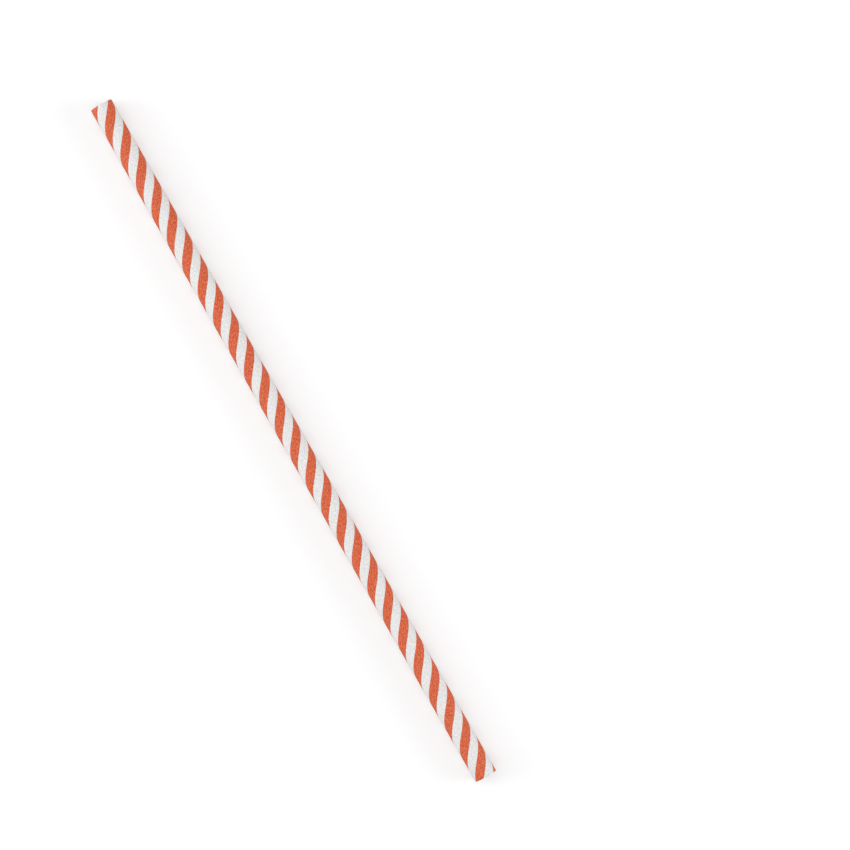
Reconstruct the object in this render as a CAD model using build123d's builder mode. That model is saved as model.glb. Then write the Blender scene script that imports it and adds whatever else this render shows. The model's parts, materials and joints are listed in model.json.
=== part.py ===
from build123d import *
from math import asin, ceil, cos, pi
import os

# A paper drinking straw: three strips of paper wound on the spiral over one another, glued into
# a thin straight tube and cut square at both ends. It lies on its side along X, resting on Z = 0,
# with the middle of its length at X = 0. The winding is right-handed.

# Driving dimensions, in millimetres
length = 197.0
outside_diameter = 6.0
ply_count = 3
ply_thickness = 0.13  # one strip of paper with its share of glue
ply_width = 14.74  # the width of the outer strip, which sets how steeply it is wound
seam_gap = 0.10  # the space left at the surface where a strip's edges meet, turn after turn
seam_root = 0.04  # the same space at the strip underneath, which the edges' worn corners leave narrower
seam_crossing = 6.95  # from the +X end to where the outer seam first crosses the top of the straw

# Worked out from them
outer_radius = outside_diameter / 2
bore_radius = outer_radius - ply_count * ply_thickness
winding_angle = asin(ply_width / (pi * outside_diameter))  # between the seam and a square cut
pitch = ply_width / cos(winding_angle)
stagger = pitch / ply_count  # each strip's seam lies this far along from the one over it

# How far the path of a seam runs on past each cut end, so that its groove is open there
overrun = outside_diameter / 2


def seam_path(radius, crossing):
    """The helix of a seam at a radius, which crosses the top of the straw at crossing from the +X end."""
    turns = ceil((length + overrun - crossing) / pitch)
    start = length / 2 - crossing - turns * pitch
    with BuildLine() as path:
        Helix(
            pitch,
            length / 2 + overrun - start,
            radius,
            center=(start, 0, outer_radius),
            direction=(1, 0, 0),
        )
    return path.line


os.makedirs("parts", exist_ok=True)

with BuildPart() as straw:
    # The wall, as the glued strips leave it
    with BuildSketch(Plane.YZ.offset(-length / 2)):
        with Locations((0, outer_radius)):
            Circle(outer_radius)
            Circle(bore_radius, mode=Mode.SUBTRACT)
    extrude(amount=length)

    # The open joints of the outermost strip, outside, and of the innermost one, in the bore. Each
    # is one strip deep, and its section runs on as far again out of the wall.
    outer_seam = seam_path(outer_radius, seam_crossing)
    bore_seam = seam_path(bore_radius, seam_crossing + (ply_count - 1) * stagger)
    for seam, into_wall in ((outer_seam, -ply_thickness), (bore_seam, ply_thickness)):
        with BuildSketch(Plane(seam @ 0, x_dir=(1, 0, 0), z_dir=seam % 0)):
            with BuildLine():
                Polyline(
                    (seam_root / 2, into_wall),
                    (seam_gap - seam_root / 2, -into_wall),
                    (seam_root / 2 - seam_gap, -into_wall),
                    (-seam_root / 2, into_wall),
                    close=True,
                )
            make_face()
        sweep(path=seam, is_frenet=True, mode=Mode.SUBTRACT)

straw.part.label = "straw"
export_step(straw.part, "parts/straw.step")
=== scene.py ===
import json
from math import asin, atan2, ceil, cos, pi, radians, sin, tau

import bmesh
import bpy
from mathutils import Matrix, Vector


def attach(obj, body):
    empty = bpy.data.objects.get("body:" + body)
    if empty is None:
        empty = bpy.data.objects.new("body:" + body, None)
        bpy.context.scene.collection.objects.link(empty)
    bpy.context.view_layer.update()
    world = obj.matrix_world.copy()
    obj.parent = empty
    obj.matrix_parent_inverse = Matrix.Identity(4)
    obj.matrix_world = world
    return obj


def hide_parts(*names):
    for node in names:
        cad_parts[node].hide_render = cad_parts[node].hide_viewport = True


# A striped paper straw lies on a white table and is seen from straight above. It is made as in life:
# a printed strip is wound on the spiral, turn against turn, and the tube is cut off square.

MM = 0.001

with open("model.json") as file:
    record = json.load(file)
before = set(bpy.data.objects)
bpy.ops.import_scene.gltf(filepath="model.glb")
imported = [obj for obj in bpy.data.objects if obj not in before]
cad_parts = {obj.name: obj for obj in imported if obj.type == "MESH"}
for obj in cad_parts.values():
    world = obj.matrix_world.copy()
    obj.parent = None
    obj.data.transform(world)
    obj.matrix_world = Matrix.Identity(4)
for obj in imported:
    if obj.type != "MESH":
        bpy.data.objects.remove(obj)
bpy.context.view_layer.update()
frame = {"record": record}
mounts = {mount["name"]: mount for mount in frame["record"]["mounts"]}

# The tube, as its mounts give it
OUTER_RADIUS = mounts["outer_wall"]["dims"]["r_mm"] * MM
BORE_RADIUS = mounts["bore"]["dims"]["r_mm"] * MM
LENGTH = mounts["bore"]["dims"]["length_mm"] * MM
AXIS_HEIGHT = mounts["bore"]["pos_m"][2]
AXIS = Vector((0, 0, AXIS_HEIGHT))

# The winding
STRIPS = 3  # wound over one another
STRIP_THICKNESS = (OUTER_RADIUS - BORE_RADIUS) / STRIPS
STRIP_WIDTH = 14.74 * MM
WINDING_ANGLE = asin(STRIP_WIDTH / (tau * OUTER_RADIUS))  # between the seam and a square cut
PITCH = STRIP_WIDTH / cos(WINDING_ANGLE)
OUTER_SEAM_X = LENGTH / 2 - 6.95 * MM  # where the outer seam crosses the top of the straw
BORE_SEAM_X = OUTER_SEAM_X - PITCH * (STRIPS - 1) / STRIPS
STEPS_A_TURN = 96

# The relief of the wound strip, in sizes across it
SEAM_GAP = 0.05 * MM
SEAM_DEPTH = 0.05 * MM
SEAM_LIP = 0.06 * MM  # the width of the worn corner on each side of the gap
LIP_DROP = 0.012 * MM
SAG_DEPTH = 0.010 * MM  # how far the strip sinks over the seams of the strips under it
SAG_WIDTH = 0.35 * MM  # on each side of such a seam

# The corners of the cut ends, which the cutter closes in
NIP_LENGTH = 0.07 * MM
NIP_DEPTH = 0.022 * MM
SHARP_CORNER = radians(40)  # from here on an edge isn't shaded smooth

# How near a point has to be to another, to a cut or to an end of the tube, to count as being there
SAME_POINT = 0.001 * MM
ON_THE_CUT = 0.0001 * MM
AT_THE_END = 0.01 * MM

# The straw's material slots, after the first, which is its outside
BORE_SLOT = 1
CUT_SLOT = 2

# The print, in sizes across the strip
BAND_PERIOD = 4.932 * MM
CORAL_BAND = 2.500 * MM
BAND_TRIM = 0.080 * MM  # cut off the first coral band with the strip's edge
BAND_SOFTNESS = 0.035 * MM
BAND_RAGGEDNESS = 0.04 * MM  # how far the fibres lead the edge of a band astray
INK_RIM = 0.20 * MM  # where the ink is squeezed out thicker along a band's edges
INK_RIM_STRENGTH = 0.35

CORAL = (0.868, 0.216, 0.096, 1)
CORAL_DEEP = (0.490, 0.043, 0.008, 1)
CORAL_RIM = (0.540, 0.082, 0.034, 1)
WHITE = (0.948, 0.938, 0.930, 1)
WHITE_SHADE = (0.705, 0.700, 0.696, 1)
INNER_PAPER = (0.830, 0.822, 0.800, 1)
INNER_PAPER_SHADE = (0.740, 0.728, 0.700, 1)
CUT_PAPER = (0.800, 0.792, 0.775, 1)
GLUE_LINE = (0.520, 0.500, 0.460, 1)

# The grain of the paper: the sizes of its speckles, and their shares in its shade. In its relief the
# fibres have the same share, and the tooth has the rest.
FIBRE_SIZE = 0.27 * MM
FIBRE_SCALE = (0.45, 1, 1)  # draws the fibres out along the strip
CLOUD_SIZE = 1.1 * MM
TOOTH_SIZE = 0.17 * MM
FIBRE_SHARE = 0.65
CLOUD_SHARE = 0.05
TOOTH_SHARE = 0.30
INNER_SHARE = 0.35  # of the fibres and the cloud each, in the bore
CUT_SHARE = 0.5  # of the tooth, at the cut ends
GRAIN_DEPTH = 0.015 * MM
CUT_GRAIN_DEPTH = 0.03 * MM

# The finish of the paper
PAPER_IOR = 1.45
PAPER_SPECULAR = 0.3
PAPER_ROUGHNESS = 0.78
INK_ROUGHNESS = 0.60
INNER_ROUGHNESS = (0.80, 0.90)  # from the hollows of the tooth to its tips
CUT_ROUGHNESS = (0.82, 0.92)
GLUE_FADES = (0.05, 0.16)  # between these distances from a joint, in thicknesses of a strip
GLUE_STRENGTH = 0.7


def lay_strip(mesh, radius, seam_x, into_wall):
    """Winds one face of the wall. The outline of one strip, from seam to seam, is spun round the tube
    while it moves on by one pitch, and that turn is laid again and again, edge against edge. Into_wall
    is 1 for the outside and -1 for the bore."""
    gap = SEAM_GAP / 2 / cos(WINDING_ANGLE)
    lip = gap + SEAM_LIP / cos(WINDING_ANGLE)
    sag = SAG_WIDTH / cos(WINDING_ANGLE)
    outline = [(0, SEAM_DEPTH), (gap, SEAM_DEPTH), (gap, LIP_DROP), (lip, 0)]
    for covered_seam in range(1, STRIPS):
        middle = PITCH * covered_seam / STRIPS
        outline += [(middle - sag, 0), (middle, SAG_DEPTH), (middle + sag, 0)]
    outline += [(PITCH - lip, 0), (PITCH - gap, LIP_DROP)]
    outline += [(PITCH - gap, SEAM_DEPTH), (PITCH, SEAM_DEPTH)]

    turns = ceil(LENGTH / PITCH) + 2
    start = seam_x - PITCH * (ceil((seam_x + LENGTH / 2) / PITCH) + 1)
    top = AXIS_HEIGHT + radius
    chain = [mesh.verts.new((start + along, 0, top - into_wall * sunk)) for along, sunk in outline]
    edges = [mesh.edges.new(pair) for pair in zip(chain[:-1], chain[1:])]
    bmesh.ops.spin(
        mesh,
        geom=chain + edges,
        cent=AXIS,
        axis=(1, 0, 0),
        dvec=(PITCH / STEPS_A_TURN, 0, 0),
        angle=tau,
        steps=STEPS_A_TURN,
    )
    first_turn = mesh.verts[:] + mesh.edges[:] + mesh.faces[:]
    for turn in range(1, turns):
        laid = bmesh.ops.duplicate(mesh, geom=first_turn)["geom"]
        verts = [part for part in laid if isinstance(part, bmesh.types.BMVert)]
        bmesh.ops.translate(mesh, vec=(turn * PITCH, 0, 0), verts=verts)
    bmesh.ops.remove_doubles(mesh, verts=mesh.verts, dist=SAME_POINT)


def cut_across(mesh, x, side, clear):
    """Cuts the wall square at x. Returns the points of the cut. Clear drops what lies beyond it."""
    cut = bmesh.ops.bisect_plane(
        mesh,
        geom=mesh.verts[:] + mesh.edges[:] + mesh.faces[:],
        dist=ON_THE_CUT,
        plane_co=(x, 0, 0),
        plane_no=(side, 0, 0),
        clear_outer=clear,
    )["geom_cut"]
    return [part for part in cut if isinstance(part, bmesh.types.BMVert)]


def trim_end(mesh, side):
    """Cuts both faces of the wall off at one end, nips their corners in and closes the wall there.
    Returns the faces of the cut."""
    end = side * LENGTH / 2
    rim = cut_across(mesh, end, side, True)
    cut_across(mesh, end - side * NIP_LENGTH, side, False)
    middle = (OUTER_RADIUS + BORE_RADIUS) / 2
    outside = [vert for vert in rim if (vert.co - AXIS).yz.length > middle]
    inside = [vert for vert in rim if (vert.co - AXIS).yz.length < middle]
    for verts, nip in ((outside, 1 - NIP_DEPTH / OUTER_RADIUS), (inside, 1 + NIP_DEPTH / BORE_RADIUS)):
        bmesh.ops.scale(mesh, vec=(1, nip, nip), space=Matrix.Translation(-AXIS), verts=verts)
    open_edges = [edge for edge in mesh.edges if edge.is_boundary]
    rim_edges = [edge for edge in open_edges if abs(edge.verts[0].co.x - end) < AT_THE_END]
    return bmesh.ops.bridge_loops(mesh, edges=rim_edges)["faces"]


def make_straw():
    """The wound tube: its printed outside, its plain bore and its two cut ends."""
    bore = bmesh.new()
    lay_strip(bore, BORE_RADIUS, BORE_SEAM_X, -1)
    bmesh.ops.reverse_faces(bore, faces=bore.faces)
    for face in bore.faces:
        face.material_index = BORE_SLOT
    wall = bpy.data.meshes.new("straw_wound")
    bore.to_mesh(wall)
    bore.free()

    tube = bmesh.new()
    lay_strip(tube, OUTER_RADIUS, OUTER_SEAM_X, 1)
    tube.from_mesh(wall)
    for side in (-1, 1):
        for face in trim_end(tube, side):
            face.material_index = CUT_SLOT
    bmesh.ops.recalc_face_normals(tube, faces=tube.faces)
    for face in tube.faces:
        face.smooth = True
    for edge in tube.edges:
        edge.smooth = edge.calc_face_angle(0) < SHARP_CORNER
    tube.to_mesh(wall)
    tube.free()

    straw = bpy.data.objects.new("straw_wound", wall)
    bpy.context.collection.objects.link(straw)
    return straw


def feed(tree, given, socket):
    """Links another socket to this one, or sets it to a number or a colour."""
    if isinstance(given, bpy.types.NodeSocket):
        tree.links.new(given, socket)
    else:
        socket.default_value = given


def reckon(tree, operation, *given):
    """A Math node. Returns its output."""
    node = tree.nodes.new("ShaderNodeMath")
    node.operation = operation
    for value, socket in zip(given, node.inputs):
        feed(tree, value, socket)
    return node.outputs[0]


def add_up(tree, *shares):
    """Adds up values, each times its share. Returns the sum."""
    parts = [reckon(tree, "MULTIPLY", value, share) for value, share in shares]
    total = parts[0]
    for part in parts[1:]:
        total = reckon(tree, "ADD", total, part)
    return total


def off_nearest(tree, value):
    """Returns how far a value lies from the nearest whole number."""
    return reckon(tree, "ABSOLUTE", reckon(tree, "SUBTRACT", value, reckon(tree, "ROUND", value)))


def rise(tree, value, start, end, low=0.0, high=1.0):
    """A Map Range node that goes smoothly from low to high between start and end. Returns its output."""
    node = tree.nodes.new("ShaderNodeMapRange")
    node.interpolation_type = "SMOOTHSTEP"
    for given, socket in zip((value, start, end, low, high), node.inputs):
        feed(tree, given, socket)
    return node.outputs["Result"]


def blend(tree, share, first, second):
    """A colour Mix node. Returns its output."""
    node = tree.nodes.new("ShaderNodeMix")
    node.data_type = "RGBA"
    ends = {socket.identifier: socket for socket in node.inputs}
    feed(tree, share, ends["Factor_Float"])
    feed(tree, first, ends["A_Color"])
    feed(tree, second, ends["B_Color"])
    return next(socket for socket in node.outputs if socket.identifier == "Result_Color")


def speckle(tree, place, size, detail, spread):
    """Noise in grains of a size, spread from its middle values over 0 to 1. Returns its output."""
    node = tree.nodes.new("ShaderNodeTexNoise")
    feed(tree, place, node.inputs["Vector"])
    node.inputs["Scale"].default_value = 1 / size
    node.inputs["Detail"].default_value = detail
    node.inputs["Roughness"].default_value = 0.6
    return rise(tree, node.outputs["Fac"], 0.5 - spread, 0.5 + spread)


def new_group(name, inputs, outputs):
    """A node group with named sockets. Returns it, the sockets that its inputs come from inside it, and
    those that its outputs go to."""
    group = bpy.data.node_groups.new(name, "ShaderNodeTree")
    for in_out, sockets in (("INPUT", inputs), ("OUTPUT", outputs)):
        for label, kind in sockets.items():
            group.interface.new_socket(label, in_out=in_out, socket_type=kind)
    return group, group.nodes.new("NodeGroupInput").outputs, group.nodes.new("NodeGroupOutput").inputs


def strip_layout_group():
    """Where a point of the tube lies on the strip that covers it: Across is from the strip's seam, and
    Place is along and across it, in metres. They run on round the tube and break only at the seam."""
    group, given, result = new_group(
        "strip_layout",
        {"Object": "NodeSocketVector", "Seam X": "NodeSocketFloat"},
        {"Across": "NodeSocketFloat", "Place": "NodeSocketVector"},
    )
    split = group.nodes.new("ShaderNodeSeparateXYZ")
    feed(group, given["Object"], split.inputs[0])
    x, y, z = split.outputs
    above = reckon(group, "SUBTRACT", z, AXIS_HEIGHT)
    round_axis = reckon(group, "ARCTAN2", reckon(group, "MULTIPLY", y, -1), above)
    turn = reckon(group, "DIVIDE", round_axis, tau)
    pitches = reckon(group, "DIVIDE", reckon(group, "SUBTRACT", x, given["Seam X"]), PITCH)
    wound = reckon(group, "SUBTRACT", pitches, turn)
    whole_turns = reckon(group, "FLOOR", wound)
    across = reckon(group, "MULTIPLY", reckon(group, "SUBTRACT", wound, whole_turns), STRIP_WIDTH)
    turned = reckon(group, "ADD", turn, whole_turns)
    unrolled = reckon(group, "MULTIPLY", turned, tau * OUTER_RADIUS)
    along = add_up(group, (x, sin(WINDING_ANGLE)), (unrolled, cos(WINDING_ANGLE)))
    place = group.nodes.new("ShaderNodeCombineXYZ")
    feed(group, along, place.inputs[0])
    feed(group, across, place.inputs[1])
    feed(group, across, result["Across"])
    feed(group, place.outputs[0], result["Place"])
    return group


def paper_grain_group():
    """The grain of uncoated paper: Fibre streaks that lie along the strip, the Cloud of its formation,
    fine Tooth, and the Height of fibres and tooth together."""
    group, given, result = new_group(
        "paper_grain",
        {"Place": "NodeSocketVector"},
        {name: "NodeSocketFloat" for name in ("Fibre", "Cloud", "Tooth", "Height")},
    )
    drawn_out = group.nodes.new("ShaderNodeMapping")
    drawn_out.inputs["Scale"].default_value = FIBRE_SCALE
    feed(group, given["Place"], drawn_out.inputs["Vector"])
    fibre = speckle(group, drawn_out.outputs[0], FIBRE_SIZE, detail=3, spread=0.08)
    cloud = speckle(group, given["Place"], CLOUD_SIZE, detail=4, spread=0.20)
    tooth = speckle(group, given["Place"], TOOTH_SIZE, detail=2, spread=0.08)
    height = add_up(group, (fibre, FIBRE_SHARE), (tooth, 1 - FIBRE_SHARE))
    for name, value in (("Fibre", fibre), ("Cloud", cloud), ("Tooth", tooth), ("Height", height)):
        feed(group, value, result[name])
    return group


def use_group(tree, group, **given):
    """Places a group in a material and feeds its inputs by name. Returns its outputs."""
    node = tree.nodes.new("ShaderNodeGroup")
    node.node_tree = group
    for name, value in given.items():
        feed(tree, value, node.inputs[name.replace("_", " ")])
    return node.outputs


def new_paper(name):
    """An uncoated paper. Returns the material, its tree, its shader and the point on the object."""
    material = bpy.data.materials.new(name)
    material.use_nodes = True
    tree = material.node_tree
    shader = tree.nodes["Principled BSDF"]
    shader.inputs["IOR"].default_value = PAPER_IOR
    shader.inputs["Specular IOR Level"].default_value = PAPER_SPECULAR
    return material, tree, shader, tree.nodes.new("ShaderNodeTexCoord").outputs["Object"]


def raise_grain(tree, shader, height, depth):
    """Gives a paper's surface its relief."""
    bump = tree.nodes.new("ShaderNodeBump")
    bump.inputs["Strength"].default_value = 1
    bump.inputs["Distance"].default_value = depth
    feed(tree, height, bump.inputs["Height"])
    feed(tree, bump.outputs[0], shader.inputs["Normal"])


def printed_paper(layout, grain):
    """The outside: coral bands on white paper, which show the paper's grain through the ink."""
    material, tree, shader, point = new_paper("printed_paper_outside")
    strip = use_group(tree, layout, Object=point, Seam_X=OUTER_SEAM_X)
    paper = use_group(tree, grain, Place=strip["Place"])

    # The bands. The middle of the first coral one lies a little less than half its width in.
    astray = reckon(tree, "MULTIPLY", reckon(tree, "SUBTRACT", paper["Fibre"], 0.5), BAND_RAGGEDNESS)
    across = reckon(tree, "ADD", strip["Across"], astray)
    from_first = reckon(tree, "ADD", across, BAND_TRIM - CORAL_BAND / 2)
    bands = reckon(tree, "DIVIDE", from_first, BAND_PERIOD)
    off_middle = reckon(tree, "MULTIPLY", off_nearest(tree, bands), BAND_PERIOD)
    band_edge = CORAL_BAND / 2
    ink = rise(tree, off_middle, band_edge - BAND_SOFTNESS, band_edge + BAND_SOFTNESS, 1, 0)
    rim = rise(tree, off_middle, band_edge - INK_RIM, band_edge)

    shares = (("Fibre", FIBRE_SHARE), ("Cloud", CLOUD_SHARE), ("Tooth", TOOTH_SHARE))
    mottle = add_up(tree, *((paper[name], share) for name, share in shares))
    coral = blend(tree, mottle, CORAL, CORAL_DEEP)
    coral = blend(tree, reckon(tree, "MULTIPLY", rim, INK_RIM_STRENGTH), coral, CORAL_RIM)
    white = blend(tree, mottle, WHITE, WHITE_SHADE)
    feed(tree, blend(tree, ink, white, coral), shader.inputs["Base Color"])
    feed(tree, rise(tree, ink, 0, 1, PAPER_ROUGHNESS, INK_ROUGHNESS), shader.inputs["Roughness"])
    raise_grain(tree, shader, paper["Height"], GRAIN_DEPTH)
    return material


def plain_paper(layout, grain):
    """The bore: the unprinted innermost strip."""
    material, tree, shader, point = new_paper("plain_paper_bore")
    strip = use_group(tree, layout, Object=point, Seam_X=BORE_SEAM_X)
    paper = use_group(tree, grain, Place=strip["Place"])
    mottle = add_up(tree, (paper["Fibre"], INNER_SHARE), (paper["Cloud"], INNER_SHARE))
    feed(tree, blend(tree, mottle, INNER_PAPER, INNER_PAPER_SHADE), shader.inputs["Base Color"])
    feed(tree, rise(tree, paper["Tooth"], 0, 1, *INNER_ROUGHNESS), shader.inputs["Roughness"])
    raise_grain(tree, shader, paper["Height"], GRAIN_DEPTH)
    return material


def cut_paper(grain):
    """The cut ends: the edges of the strips, with a line of glue between one and the next."""
    material, tree, shader, point = new_paper("cut_paper_ends")
    centred = tree.nodes.new("ShaderNodeVectorMath")
    centred.operation = "SUBTRACT"
    feed(tree, point, centred.inputs[0])
    centred.inputs[1].default_value = AXIS
    split = tree.nodes.new("ShaderNodeSeparateXYZ")
    feed(tree, centred.outputs[0], split.inputs[0])
    squares = [reckon(tree, "MULTIPLY", side, side) for side in (split.outputs[1], split.outputs[2])]
    from_axis = reckon(tree, "SQRT", reckon(tree, "ADD", *squares))
    layer = reckon(tree, "DIVIDE", reckon(tree, "SUBTRACT", from_axis, BORE_RADIUS), STRIP_THICKNESS)
    glue = rise(tree, off_nearest(tree, layer), *GLUE_FADES, 1, 0)

    paper = use_group(tree, grain, Place=point)
    mottle = reckon(tree, "MULTIPLY", paper["Tooth"], CUT_SHARE)
    edge = blend(tree, mottle, CUT_PAPER, INNER_PAPER_SHADE)
    glued = blend(tree, reckon(tree, "MULTIPLY", glue, GLUE_STRENGTH), edge, GLUE_LINE)
    feed(tree, glued, shader.inputs["Base Color"])
    feed(tree, rise(tree, paper["Tooth"], 0, 1, *CUT_ROUGHNESS), shader.inputs["Roughness"])
    raise_grain(tree, shader, paper["Tooth"], CUT_GRAIN_DEPTH)
    return material


# How the photograph frames the straw, in pixels of its 850 by 850, with y down
PICTURE_SIDE = 850
UPPER_END = Vector((101.2, 105.3))
TO_LOWER_END = Vector((0.4974, 0.8675))  # a direction
STRAW_WIDTH = 23.55

PIXELS_A_METRE = STRAW_WIDTH / (2 * OUTER_RADIUS)
PICTURE_RIGHT = Vector((-TO_LOWER_END.x, -TO_LOWER_END.y, 0)).normalized()  # on the table
PICTURE_UP = Vector((-PICTURE_RIGHT.y, PICTURE_RIGHT.x, 0))

CAMERA_DISTANCE = 1.0
SOFTBOX_DISTANCE = 1.4

# The table. The camera sees it lit and glowing, and for the light that it sends to the straw it is grey.
TABLE_HALF_SIDE = 4
TABLE_SEEN = 0.60
TABLE_GLOW = 0.45
TABLE_AT_THE_STRAW = 0.30
TABLE_FADES = (0.25, 0.90)  # goes over into plain white between these distances from the middle


def grey(level):
    """A grey as a colour."""
    return level, level, level, 1


def add_camera():
    """A long lens straight above, turned so that the straw lies in the picture as in the photograph."""
    centre = UPPER_END + TO_LOWER_END * (LENGTH / 2 * PIXELS_A_METRE)
    off_centre = (Vector((PICTURE_SIDE, PICTURE_SIDE)) / 2 - centre) / PIXELS_A_METRE
    data = bpy.data.cameras.new("overhead")
    data.lens = CAMERA_DISTANCE * PIXELS_A_METRE * data.sensor_width / PICTURE_SIDE
    camera = bpy.data.objects.new("overhead", data)
    aimed_at = AXIS + PICTURE_RIGHT * off_centre.x - PICTURE_UP * off_centre.y
    camera.location = aimed_at + Vector((0, 0, CAMERA_DISTANCE))
    camera.rotation_euler = (0, 0, atan2(PICTURE_RIGHT.y, PICTURE_RIGHT.x))
    bpy.context.collection.objects.link(camera)
    bpy.context.scene.camera = camera


def add_softbox(name, towards, from_zenith, size, level):
    """A round softbox over the table, at an angle from straight above. A white card at the straw that
    faces it looks as light as the level says, from 0 for black to 1 for white."""
    data = bpy.data.lights.new(name, "AREA")
    data.shape = "DISK"
    data.size = size
    data.energy = level * pi**2 * (SOFTBOX_DISTANCE**2 + (size / 2) ** 2)
    box = bpy.data.objects.new(name, data)
    direction = towards * sin(from_zenith) + Vector((0, 0, cos(from_zenith)))
    box.location = AXIS + direction * SOFTBOX_DISTANCE
    box.rotation_euler = direction.to_track_quat("Z", "Y").to_euler()
    bpy.context.collection.objects.link(box)


def camera_share(tree):
    """1 for what the camera sees, straight or in a gloss, and 0 for light that lands on the straw."""
    rays = tree.nodes.new("ShaderNodeLightPath").outputs
    seen = reckon(tree, "MAXIMUM", rays["Is Camera Ray"], rays["Is Glossy Ray"])
    return reckon(tree, "MAXIMUM", seen, rays["Is Transmission Ray"])


def mix_shaders(tree, share, first, second):
    """A shader Mix node. Returns its output."""
    node = tree.nodes.new("ShaderNodeMixShader")
    for given, socket in zip((share, first, second), node.inputs):
        feed(tree, given, socket)
    return node.outputs[0]


def table_white():
    """White where the camera sees it, with the straw's shadow, and grey as a light on the straw. Out
    where the softboxes don't reach, it goes over into the plain white of the room behind it."""
    material = bpy.data.materials.new("table_white")
    material.use_nodes = True
    tree = material.node_tree
    tree.nodes.clear()
    seen = tree.nodes.new("ShaderNodeBsdfDiffuse")
    seen.inputs["Color"].default_value = grey(TABLE_SEEN)
    glow = tree.nodes.new("ShaderNodeEmission")
    glow.inputs["Strength"].default_value = TABLE_GLOW
    near = tree.nodes.new("ShaderNodeAddShader")
    feed(tree, seen.outputs[0], near.inputs[0])
    feed(tree, glow.outputs[0], near.inputs[1])
    far = tree.nodes.new("ShaderNodeEmission")
    from_straw = tree.nodes.new("ShaderNodeVectorMath")
    from_straw.operation = "LENGTH"
    feed(tree, tree.nodes.new("ShaderNodeTexCoord").outputs["Object"], from_straw.inputs[0])
    farness = rise(tree, from_straw.outputs["Value"], *TABLE_FADES)
    in_view = mix_shaders(tree, farness, near.outputs[0], far.outputs[0])
    at_the_straw = tree.nodes.new("ShaderNodeBsdfDiffuse")
    at_the_straw.inputs["Color"].default_value = grey(TABLE_AT_THE_STRAW)
    table = mix_shaders(tree, camera_share(tree), at_the_straw.outputs[0], in_view)
    feed(tree, table, tree.nodes.new("ShaderNodeOutputMaterial").inputs["Surface"])
    return material


def add_table():
    """The table, with its top at the straw's underside."""
    mesh = bmesh.new()
    bmesh.ops.create_grid(mesh, x_segments=1, y_segments=1, size=TABLE_HALF_SIDE)
    data = bpy.data.meshes.new("table")
    mesh.to_mesh(data)
    mesh.free()
    data.materials.append(table_white())
    table = bpy.data.objects.new("table", data)
    bpy.context.collection.objects.link(table)


def add_room_light(level):
    """The even light of a white room, which looks plain white behind the table's edge."""
    world = bpy.data.worlds.new("white_room")
    world.use_nodes = True
    tree = world.node_tree
    background = tree.nodes["Background"]
    background.inputs["Color"].default_value = grey(1)
    feed(tree, rise(tree, camera_share(tree), 0, 1, level, 1), background.inputs["Strength"])
    bpy.context.scene.world = world


straw = make_straw()
strip_layout = strip_layout_group()
paper_grain = paper_grain_group()
straw.data.materials.append(printed_paper(strip_layout, paper_grain))
straw.data.materials.append(plain_paper(strip_layout, paper_grain))
straw.data.materials.append(cut_paper(paper_grain))
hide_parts("straw")
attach(straw, "root")

add_table()
add_room_light(level=0.343)
add_softbox("softbox_above", -PICTURE_RIGHT, from_zenith=radians(16), size=2.6, level=0.360)
add_softbox("softbox_left", -PICTURE_RIGHT, from_zenith=radians(74), size=1.0, level=0.48)
add_softbox("softbox_right", PICTURE_RIGHT, from_zenith=radians(70), size=0.8, level=0.46)
add_camera()
bpy.context.scene.view_settings.view_transform = "Standard"
